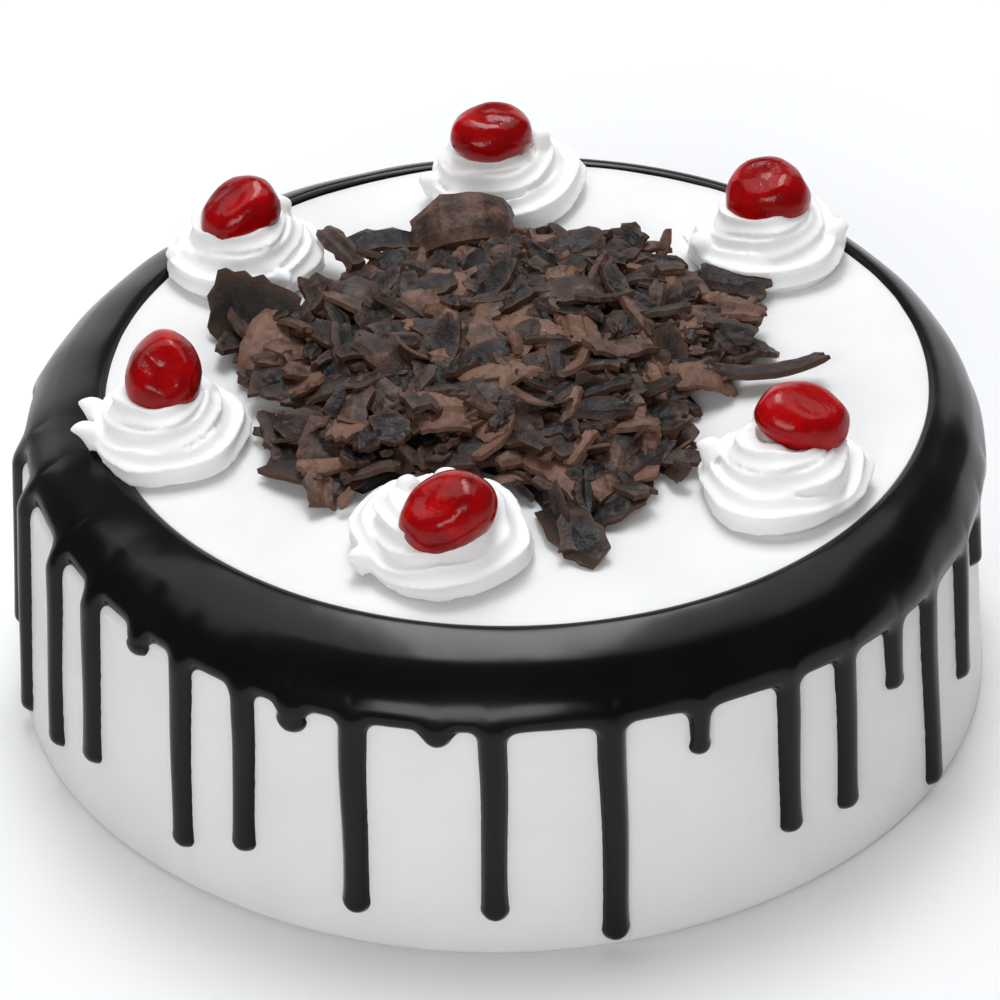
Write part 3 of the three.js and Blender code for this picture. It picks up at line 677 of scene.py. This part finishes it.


# One shaving: a thin curled plate with a ragged outline, scraper ridges and thinner edges.
# Gives its points, faces and how near each point is to the broken edge, which the chocolate's material
# paints paler as a highlight.
def shaving_shape(one, rng, long_steps, wide_steps, thickness):
    along = np.linspace(-0.5, 0.5, long_steps + 1)[:, None]
    across = np.linspace(-0.5, 0.5, wide_steps + 1)[None, :]
    share = np.interp(along, (-0.5, -0.17, 0.17, 0.5), one["widths"])
    ragged = 1 + rng.normal(0, 0.07, (long_steps + 1, wide_steps + 1)) * (np.abs(across) > 0.45)
    ends = rng.normal(0, 0.035, (1, wide_steps + 1)) * (np.abs(along) > 0.45)
    x = one["length"] * (along + ends)
    y = one["width"] * across * share * ragged + one["skew"] * x
    x = x + 0 * y
    ridges = 0.22 * np.sin(across * one["width"] * 2.2 + rng.uniform(0, 6)) * min(1, one["width"] / 5)
    bumps = ridges + rng.normal(0, 0.1, y.shape)
    rim = np.maximum(np.abs(along) > 0.49, np.abs(across) > 0.49)
    half = thickness / 2 * np.where(rim, 0.6, 1.0)
    cup = -0.035 * np.sign(one["curl"]) * y ** 2 * rng.uniform(0.2, 1.2)
    layers = []
    for z in (half + bumps + cup, -half + bumps * 0.5 + cup):
        bend = x * one["curl"]
        away = 1 / one["curl"] + z
        layers.append(np.stack([away * np.sin(bend), y, away * np.cos(bend) - 1 / one["curl"]], -1))
    points = np.concatenate([layer.reshape(-1, 3) for layer in layers])
    turned = Euler((one["roll"], one["pitch"], one["yaw"]), "XYZ").to_matrix()
    points = points @ np.array(turned).T + (one["x"], one["y"], one["z"])
    points[:, 2] += max(0, TOP_HEIGHT + 0.1 - points[:, 2].min())
    rows = wide_steps + 1
    size = (long_steps + 1) * rows
    top = grid_quads(long_steps + 1, rows, False)
    outline = [k * rows for k in range(long_steps)]
    outline += [long_steps * rows + k for k in range(wide_steps)]
    outline += [(long_steps - k) * rows + wide_steps for k in range(long_steps)]
    outline += [wide_steps - k for k in range(wide_steps)]
    rim_faces = [[a + size, b + size, b, a] for a, b in zip(outline, outline[1:] + outline[:1])]
    faces = top.tolist() + (top[:, ::-1] + size).tolist() + rim_faces
    # Rim points are marked for the painted highlight along the edges
    edge = np.tile(rim.astype(float).reshape(-1), 2)
    return points, faces, edge


# Keeps each point's tone, and how near a broken edge it is, for the chocolate's material, which paints the
# edges paler as a highlight
def paint(obj, tone, edge):
    values = np.zeros((len(obj.data.vertices), 4))
    values[:, 0], values[:, 1], values[:, 3] = tone, edge, 1
    colours = obj.data.color_attributes.new("tone", "FLOAT_COLOR", "POINT")
    colours.data.foreach_set("color", values.reshape(-1))


# Joins shavings into one piece. Each has a tone of its own.
def make_shavings(name, shapes, rng, material, lift_tone=0.0):
    points, faces = merged([(shape[0], shape[1]) for shape in shapes])
    tones = [np.full(len(shape[0]), clamp01(rng.beta(1.8, 3.2) + lift_tone)) for shape in shapes]
    obj = piece(name, points, faces, material, smooth=False)
    paint(obj, np.concatenate(tones), np.concatenate([shape[2] for shape in shapes]))
    return obj


def make_heap(material):
    rng = np.random.default_rng(HEAP_SEED)
    large = [placed_shaving(i, one) for i, one in enumerate(PLACED_SHAVINGS)] + spread_shavings()
    shapes = [shaving_shape(one, rng, **LARGE) for one in large]
    obj = make_shavings("chocolate_shavings", shapes, rng, material)
    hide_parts("shavings")
    splinters = loose_splinters(rng, SPLINTER_COUNT, SPLINTER_LENGTHS)
    shapes = [shaving_shape(one, rng, **SPLINTER) for one in splinters]
    make_shavings("chocolate_splinters", shapes, rng, material)
    crumbs = loose_splinters(rng, CRUMB_COUNT, CRUMB_LENGTHS)
    shapes = [shaving_shape(one, rng, **CRUMB) for one in crumbs]
    make_shavings("chocolate_crumbs", shapes, rng, material, CRUMB_LIFT)
    make_heap_core(material)


# The uneven mound under the shavings, dark as painted shade for the gaps between them
def make_heap_core(material):
    angle = np.arange(CORE_COLUMNS) * 360 / CORE_COLUMNS
    reach = np.array([heap_reach(one) for one in angle]) * CORE_SHARE
    part = np.linspace(1, 0.02, CORE_ROWS)[:, None]
    rings = place_round(angle, reach * part, heap_height(part * 0.97))
    rings[..., 2] += 0.9 * ripple(rings, 9, 21) + 0.5 * ripple(rings, 3.5, 22) - 0.4
    rings[0, :, 2] = 0
    rings += (HEAP_X, HEAP_Y, TOP_HEIGHT)
    points, faces = tube(rings, rings[0].mean(0), rings[-1].mean(0))
    obj = piece("chocolate_core", points, [face[::-1] for face in faces], material)
    # Tone 0, the darkest, is painted shade deep in the heap
    paint(obj, 0, 0)


# Materials


def new_material(name, **inputs):
    material = bpy.data.materials.new(name)
    material.use_nodes = True
    shader = material.node_tree.nodes["Principled BSDF"]
    for key, value in inputs.items():
        shader.inputs[key.replace("_", " ")].default_value = value
    return material, material.node_tree, shader


def noise(tree, scale, detail=3.0, roughness=0.55, stretch=(1, 1, 1)):
    coordinates = tree.nodes.new("ShaderNodeTexCoord")
    mapping = tree.nodes.new("ShaderNodeMapping")
    mapping.inputs["Scale"].default_value = stretch
    texture = tree.nodes.new("ShaderNodeTexNoise")
    texture.inputs["Scale"].default_value = scale
    texture.inputs["Detail"].default_value = detail
    texture.inputs["Roughness"].default_value = roughness
    tree.links.new(coordinates.outputs["Object"], mapping.inputs["Vector"])
    tree.links.new(mapping.outputs["Vector"], texture.inputs["Vector"])
    return texture.outputs["Fac"]


# Colours that a value from 0 to 1 runs through
def ramp(tree, source, stops):
    node = tree.nodes.new("ShaderNodeValToRGB")
    elements = node.color_ramp.elements
    while len(elements) < len(stops):
        elements.new(0.5)
    for element, (position, colour) in zip(elements, stops):
        element.position = position
        element.color = (*colour, 1)
    tree.links.new(source, node.inputs["Fac"])
    return node.outputs["Color"]


def grey(value):
    return (value, value, value)


def bump(tree, shader, height, strength, distance, before=None):
    node = tree.nodes.new("ShaderNodeBump")
    node.inputs["Strength"].default_value = strength
    node.inputs["Distance"].default_value = distance
    tree.links.new(height, node.inputs["Height"])
    if before is not None:
        tree.links.new(before, node.inputs["Normal"])
    tree.links.new(node.outputs["Normal"], shader.inputs["Normal"])
    return node.outputs["Normal"]


def cream_material(name, tint, grain):
    material, tree, shader = new_material(
        name, Roughness=0.5, Subsurface_Weight=0.35, Subsurface_Scale=0.004, Specular_IOR_Level=0.35)
    shader.inputs["Subsurface Radius"].default_value = (1.0, 0.85, 0.7)
    low = tuple(channel * 0.955 for channel in tint)
    colour = ramp(tree, noise(tree, 45, 2), [(0.35, low), (0.65, tint)])
    tree.links.new(colour, shader.inputs["Base Color"])
    rough = ramp(tree, noise(tree, 160, 2), [(0.3, grey(0.42)), (0.7, grey(0.6))])
    tree.links.new(rough, shader.inputs["Roughness"])
    fine = bump(tree, shader, noise(tree, 900, 2), grain, 0.00012)
    bump(tree, shader, noise(tree, 170, 3), grain, 0.0004, fine)
    return material


def glaze_material():
    material, tree, shader = new_material("glaze", Specular_IOR_Level=0.25)
    colour = ramp(tree, noise(tree, 60, 2), [(0.35, (0.002, 0.0016, 0.0014)), (0.7, (0.004, 0.003, 0.0027))])
    tree.links.new(colour, shader.inputs["Base Color"])
    rough = ramp(tree, noise(tree, 38, 3), [(0.3, grey(0.17)), (0.7, grey(0.25))])
    tree.links.new(rough, shader.inputs["Roughness"])
    bump(tree, shader, noise(tree, 70, 2, stretch=(1, 1, 0.5)), 0.25, 0.0006)
    return material


def cherry_material():
    material, tree, shader = new_material(
        "cherry", Subsurface_Weight=0.1, Subsurface_Scale=0.003, Specular_IOR_Level=0.25)
    shader.inputs["Subsurface Radius"].default_value = (1.0, 0.12, 0.08)
    colour = ramp(tree, noise(tree, 130, 3), [
        (0.3, (0.17, 0.0, 0.0005)), (0.55, (0.34, 0.0, 0.001)), (0.75, (0.5, 0.001, 0.002))])
    tree.links.new(colour, shader.inputs["Base Color"])
    rough = ramp(tree, noise(tree, 300, 2), [(0.3, grey(0.12)), (0.7, grey(0.24))])
    tree.links.new(rough, shader.inputs["Roughness"])
    fine = bump(tree, shader, noise(tree, 900, 2), 0.25, 0.0002)
    bump(tree, shader, noise(tree, 260, 3, stretch=(1, 1, 0.45)), 0.5, 0.0006, fine)
    return material


# Dark chocolate: each shaving's tone moves it from near black to brown, its broken edges get a paler painted
# highlight, and a fine bloom lies on it in patches
def chocolate_material():
    material, tree, shader = new_material("chocolate", Specular_IOR_Level=0.28)
    tone = tree.nodes.new("ShaderNodeVertexColor")
    tone.layer_name = "tone"
    split = tree.nodes.new("ShaderNodeSeparateColor")
    tree.links.new(tone.outputs["Color"], split.inputs["Color"])
    blend = tree.nodes.new("ShaderNodeMath")
    blend.operation = "MULTIPLY_ADD"
    blend.inputs[1].default_value = NOISE_SHARE
    tree.links.new(noise(tree, 230, 5, 0.65), blend.inputs[0])
    tree.links.new(split.outputs["Red"], blend.inputs[2])
    base = ramp(tree, blend.outputs["Value"], [
        (0.4, (0.003, 0.0019, 0.0016)), (0.6, (0.0125, 0.0077, 0.0066)),
        (0.78, (0.042, 0.0237, 0.0184)), (0.96, (0.175, 0.09, 0.059))])
    # A paler colour is mixed in along the rims: a painted highlight
    mix = tree.nodes.new("ShaderNodeMix")
    mix.data_type = "RGBA"
    mix.inputs["B"].default_value = EDGE_HIGHLIGHT_COLOUR
    edge = tree.nodes.new("ShaderNodeMath")
    edge.operation = "MULTIPLY"
    edge.inputs[1].default_value = EDGE_HIGHLIGHT_SHARE
    tree.links.new(split.outputs["Green"], edge.inputs[0])
    tree.links.new(edge.outputs["Value"], mix.inputs["Factor"])
    tree.links.new(base, mix.inputs["A"])
    tree.links.new(mix.outputs["Result"], shader.inputs["Base Color"])
    rough = ramp(tree, noise(tree, 240, 3), [(0.3, grey(0.38)), (0.7, grey(0.68))])
    tree.links.new(rough, shader.inputs["Roughness"])
    fine = bump(tree, shader, noise(tree, 1300, 3), 0.5, 0.0003)
    bump(tree, shader, noise(tree, 420, 4), 0.7, 0.0007, fine)
    return material


# Camera, floor and light


def make_camera():
    elevation, roll = math.radians(CAMERA_ELEVATION), math.radians(CAMERA_ROLL)
    back = Vector((0, -math.cos(elevation), math.sin(elevation)))
    camera = bpy.data.objects.new("camera", bpy.data.cameras.new("camera"))
    camera.data.sensor_width = 36
    camera.data.lens = CAMERA_LENS
    camera.location = Vector(CAMERA_AIM) + back * CAMERA_DISTANCE
    turned = (-back).to_track_quat("-Z", "Y").to_matrix().to_4x4() @ Matrix.Rotation(roll, 4, "Z")
    camera.rotation_euler = turned.to_euler()
    scene.collection.objects.link(camera)
    scene.camera = camera


def make_floor():
    mesh = bpy.data.meshes.new("floor")
    signs = [(-1, -1), (1, -1), (1, 1), (-1, 1)]
    corners = [(x * FLOOR_HALF, y * FLOOR_HALF, FLOOR_HEIGHT) for x, y in signs]
    mesh.from_pydata(corners, [], [(0, 1, 2, 3)])
    floor = bpy.data.objects.new("floor", mesh)
    scene.collection.objects.link(floor)
    material, _, _ = new_material(
        "floor", Base_Color=(0.9, 0.9, 0.9, 1), Roughness=0.8, Specular_IOR_Level=0.2)
    mesh.materials.append(material)


def area_light(name, place, width, height, watts, colour):
    light = bpy.data.lights.new(name, "AREA")
    light.shape = "RECTANGLE"
    light.size, light.size_y = width, height
    light.energy = watts
    light.color = colour
    obj = bpy.data.objects.new(name, light)
    obj.location = place
    obj.rotation_euler = (Vector(LIGHT_AIM) - Vector(place)).to_track_quat("-Z", "Y").to_euler()
    scene.collection.objects.link(obj)


def make_light():
    world = bpy.data.worlds.new("studio")
    world.use_nodes = True
    background = world.node_tree.nodes["Background"]
    background.inputs["Color"].default_value = (1, 1, 1, 1)
    background.inputs["Strength"].default_value = WORLD_STRENGTH
    scene.world = world
    for light in LIGHTS:
        area_light(*light)
    scene.view_settings.view_transform = "Standard"


make_camera()
make_floor()
make_light()
# The spread cream takes the darker tint, painted shade for the side
make_cream_body(cream_material("spread_cream", SHADED_SPREAD_TINT, SPREAD_GRAIN))
piped_cream = cream_material("piped_cream", PIPED_TINT, PIPED_GRAIN)
make_glaze(glaze_material())
cherry = cherry_material()
for number, swirl in enumerate(SWIRLS):
    make_swirl(number, swirl, piped_cream)
    make_cherry(number, swirl, cherry)
make_heap(chocolate_material())
